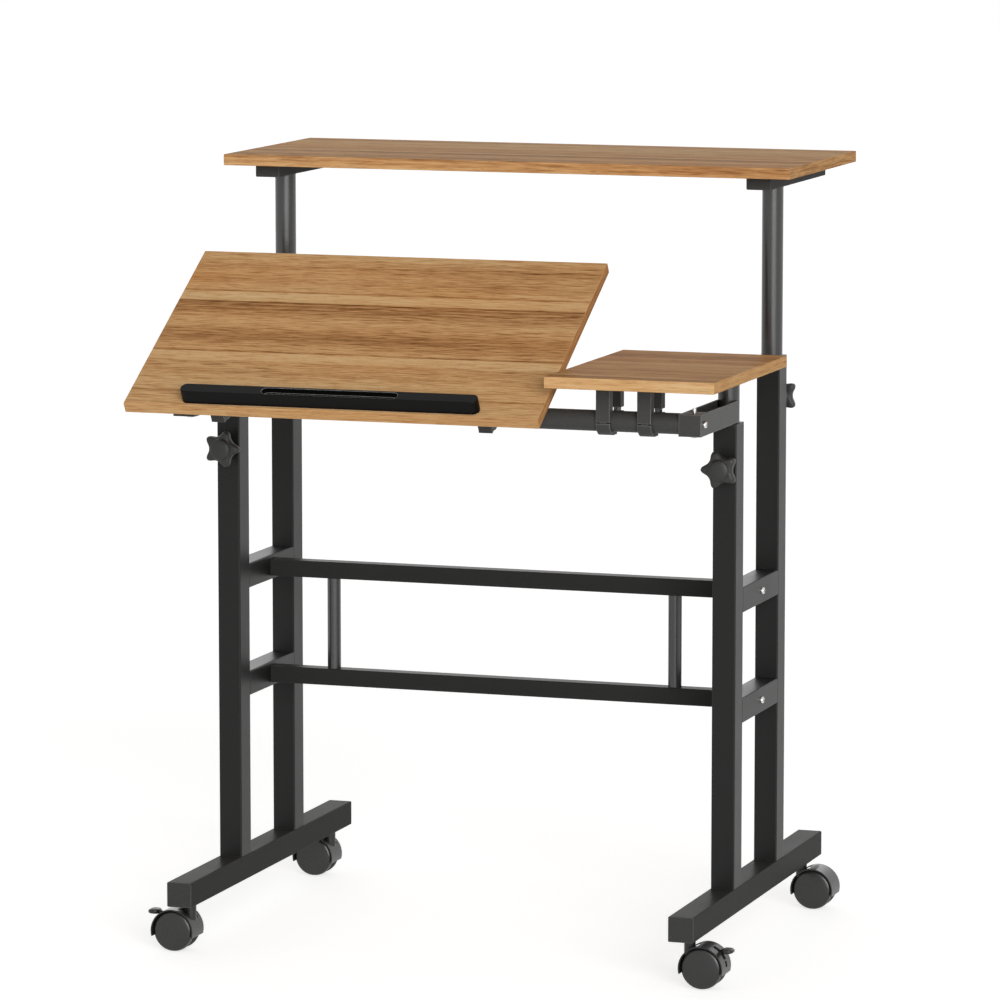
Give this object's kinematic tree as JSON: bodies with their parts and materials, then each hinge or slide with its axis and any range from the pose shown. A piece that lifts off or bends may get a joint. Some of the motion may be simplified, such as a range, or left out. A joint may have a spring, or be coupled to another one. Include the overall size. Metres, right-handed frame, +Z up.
{
  "type": "mobile height-adjustable desk",
  "caption": "Rolling desk on telescopic posts with a raised rear shelf, a tilting front board with a ledge, a level side board, star clamp knobs and swivel casters.",
  "frame": {"origin": "on the floor, in the middle of the bounding box seen from above", "axes": "+X to the user's right, +Y away from the user, +Z up"},
  "size_m": [0.714, 0.618, 0.9153],
  "materials": {
    "powder_coat": "matte charcoal powder coat",
    "wood_board": "satin wood-grain laminate",
    "black_plastic": "satin black moulding",
    "caster_plastic": "satin dark grey moulding",
    "plated_bolt": "bright zinc plate",
    "steel_pin": "plain turned steel"
  },
  "bodies": {
    "base": {"left_foot": "powder_coat", "right_foot": "powder_coat", "front_left_outer_post": "powder_coat", "front_right_outer_post": "powder_coat", "rear_left_outer_post": "powder_coat", "rear_right_outer_post": "powder_coat", "side_bars": "powder_coat", "upper_cross_rail": "powder_coat", "lower_cross_rail": "powder_coat", "brace_rods": "powder_coat", "cross_rail_bolts": "plated_bolt", "post_guide_bushes": "black_plastic", "knob_bosses": "powder_coat", "caster_stems": "steel_pin"},
    "desk_lift": {"front_left_inner_tube": "powder_coat", "front_right_inner_tube": "powder_coat", "left_end_bracket": "powder_coat", "right_end_bracket": "powder_coat", "inner_tube_caps": "black_plastic", "desk_rail": "powder_coat", "desk_rail_bolts": "plated_bolt"},
    "shelf_lift": {"rear_left_inner_tube": "powder_coat", "rear_right_inner_tube": "powder_coat", "left_shelf_bracket": "powder_coat", "right_shelf_bracket": "powder_coat", "shelf_board": "wood_board", "shelf_screws": "plated_bolt"},
    "tilt_desk": {"tilt_board": "wood_board", "tilt_board_clamps": "powder_coat", "tilt_clamp_hooks": "powder_coat", "tilt_clamp_bolts": "plated_bolt", "tilt_board_screws": "plated_bolt", "tilt_board_ledge": "black_plastic"},
    "side_desk": {"side_board": "wood_board", "side_board_clamps": "powder_coat", "side_clamp_hooks": "powder_coat", "side_clamp_bolts": "plated_bolt", "side_board_screws": "plated_bolt"},
    "front_left_knob_turn": {"front_left_knob": "black_plastic"},
    "rear_left_knob_turn": {"rear_left_knob": "black_plastic"},
    "front_right_knob_turn": {"front_right_knob": "black_plastic"},
    "rear_right_knob_turn": {"rear_right_knob": "black_plastic"},
    "front_left_caster": {"front_left_caster_hood": "caster_plastic", "front_left_caster_axle": "steel_pin"},
    "front_left_caster_front_roller": {"front_left_caster_front_wheel": "caster_plastic"},
    "front_left_caster_back_roller": {"front_left_caster_back_wheel": "caster_plastic"},
    "front_left_caster_brake": {"front_left_caster_brake_lever": "caster_plastic"},
    "rear_left_caster": {"rear_left_caster_hood": "caster_plastic", "rear_left_caster_axle": "steel_pin"},
    "rear_left_caster_front_roller": {"rear_left_caster_front_wheel": "caster_plastic"},
    "rear_left_caster_back_roller": {"rear_left_caster_back_wheel": "caster_plastic"},
    "front_right_caster": {"front_right_caster_hood": "caster_plastic", "front_right_caster_axle": "steel_pin"},
    "front_right_caster_front_roller": {"front_right_caster_front_wheel": "caster_plastic"},
    "front_right_caster_back_roller": {"front_right_caster_back_wheel": "caster_plastic"},
    "front_right_caster_brake": {"front_right_caster_brake_lever": "caster_plastic"},
    "rear_right_caster": {"rear_right_caster_hood": "caster_plastic", "rear_right_caster_axle": "steel_pin"},
    "rear_right_caster_front_roller": {"rear_right_caster_front_wheel": "caster_plastic"},
    "rear_right_caster_back_roller": {"rear_right_caster_back_wheel": "caster_plastic"}
  },
  "joints": [
    {"name": "desk_height", "type": "slide", "parent": "base", "child": "desk_lift", "axis": [0, 0, 1], "range_m": [0, 0.3]},
    {"name": "shelf_height", "type": "slide", "parent": "base", "child": "shelf_lift", "axis": [0, 0, 1], "range_m": [-0.195, 0.22]},
    {"name": "tilt_board_angle", "type": "hinge", "parent": "desk_lift", "child": "tilt_desk", "pos_m": [0, -0.21755, 0.6435], "axis": [1, 0, 0], "range_deg": [-30.6, 29.4]},
    {"name": "side_board_angle", "type": "hinge", "parent": "desk_lift", "child": "side_desk", "pos_m": [0, -0.21755, 0.6435], "axis": [1, 0, 0], "range_deg": [0, 60]},
    {"name": "front_left_knob_screw", "type": "hinge", "parent": "base", "child": "front_left_knob_turn", "pos_m": [-0.3047, -0.09115, 0.5785], "axis": [0, -1, 0], "range_deg": [0, 720]},
    {"name": "rear_left_knob_screw", "type": "hinge", "parent": "base", "child": "rear_left_knob_turn", "pos_m": [-0.3047, 0.12005, 0.637], "axis": [0, 1, 0], "range_deg": [0, 720]},
    {"name": "front_right_knob_screw", "type": "hinge", "parent": "base", "child": "front_right_knob_turn", "pos_m": [0.3047, -0.09115, 0.5785], "axis": [0, -1, 0], "range_deg": [0, 720]},
    {"name": "rear_right_knob_screw", "type": "hinge", "parent": "base", "child": "rear_right_knob_turn", "pos_m": [0.3047, 0.12005, 0.637], "axis": [0, 1, 0], "range_deg": [0, 720]},
    {"name": "front_left_caster_swivel", "type": "hinge", "parent": "base", "child": "front_left_caster", "pos_m": [-0.3047, -0.22055, 0.0556], "axis": [0, 0, 1], "continuous": true},
    {"name": "front_left_caster_front_roll", "type": "hinge", "parent": "front_left_caster", "child": "front_left_caster_front_roller", "pos_m": [-0.322, -0.22055, 0.024], "axis": [0, 1, 0], "continuous": true},
    {"name": "front_left_caster_back_roll", "type": "hinge", "parent": "front_left_caster", "child": "front_left_caster_back_roller", "pos_m": [-0.322, -0.22055, 0.024], "axis": [0, 1, 0], "continuous": true},
    {"name": "front_left_caster_brake_press", "type": "hinge", "parent": "front_left_caster", "child": "front_left_caster_brake", "pos_m": [-0.3382, -0.22055, 0.0395], "axis": [0, -1, 0], "range_deg": [0, 14]},
    {"name": "rear_left_caster_swivel", "type": "hinge", "parent": "base", "child": "rear_left_caster", "pos_m": [-0.3047, 0.24945, 0.0556], "axis": [0, 0, 1], "continuous": true},
    {"name": "rear_left_caster_front_roll", "type": "hinge", "parent": "rear_left_caster", "child": "rear_left_caster_front_roller", "pos_m": [-0.322, 0.24945, 0.024], "axis": [0, 1, 0], "continuous": true},
    {"name": "rear_left_caster_back_roll", "type": "hinge", "parent": "rear_left_caster", "child": "rear_left_caster_back_roller", "pos_m": [-0.322, 0.24945, 0.024], "axis": [0, 1, 0], "continuous": true},
    {"name": "front_right_caster_swivel", "type": "hinge", "parent": "base", "child": "front_right_caster", "pos_m": [0.3047, -0.22055, 0.0556], "axis": [0, 0, 1], "continuous": true},
    {"name": "front_right_caster_front_roll", "type": "hinge", "parent": "front_right_caster", "child": "front_right_caster_front_roller", "pos_m": [0.322, -0.22055, 0.024], "axis": [0, 1, 0], "continuous": true},
    {"name": "front_right_caster_back_roll", "type": "hinge", "parent": "front_right_caster", "child": "front_right_caster_back_roller", "pos_m": [0.322, -0.22055, 0.024], "axis": [0, 1, 0], "continuous": true},
    {"name": "front_right_caster_brake_press", "type": "hinge", "parent": "front_right_caster", "child": "front_right_caster_brake", "pos_m": [0.3382, -0.22055, 0.0395], "axis": [0, 1, 0], "range_deg": [0, 14]},
    {"name": "rear_right_caster_swivel", "type": "hinge", "parent": "base", "child": "rear_right_caster", "pos_m": [0.3047, 0.24945, 0.0556], "axis": [0, 0, 1], "continuous": true},
    {"name": "rear_right_caster_front_roll", "type": "hinge", "parent": "rear_right_caster", "child": "rear_right_caster_front_roller", "pos_m": [0.322, 0.24945, 0.024], "axis": [0, 1, 0], "continuous": true},
    {"name": "rear_right_caster_back_roll", "type": "hinge", "parent": "rear_right_caster", "child": "rear_right_caster_back_roller", "pos_m": [0.322, 0.24945, 0.024], "axis": [0, 1, 0], "continuous": true}
  ]
}
